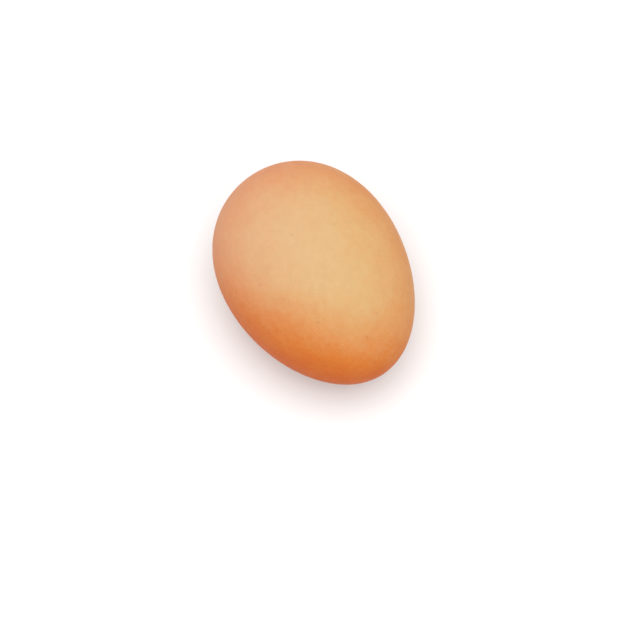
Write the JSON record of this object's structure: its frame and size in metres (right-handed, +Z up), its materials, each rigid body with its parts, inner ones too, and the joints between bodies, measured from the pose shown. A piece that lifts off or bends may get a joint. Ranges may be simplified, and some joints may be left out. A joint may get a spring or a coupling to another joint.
{
  "type": "egg",
  "caption": "Whole brown hen's egg lying on its side on a small flat spot: blunt end, pointed end, satin and finely pored shell.",
  "frame": {"origin": "middle of the flat spot that the egg rests on, straight under its centre of gravity", "axes": "+Z up; the long axis lies in the XZ plane, with the pointed end towards +X and about 6 degrees low, as a real egg lies on a table"},
  "size_m": [0.0568, 0.044, 0.0439],
  "materials": {
    "eggshell": "satin, finely pored, light brown, deeper orange towards the pointed end"
  },
  "bodies": {
    "root": {"egg": "eggshell"}
  },
  "joints": []
}
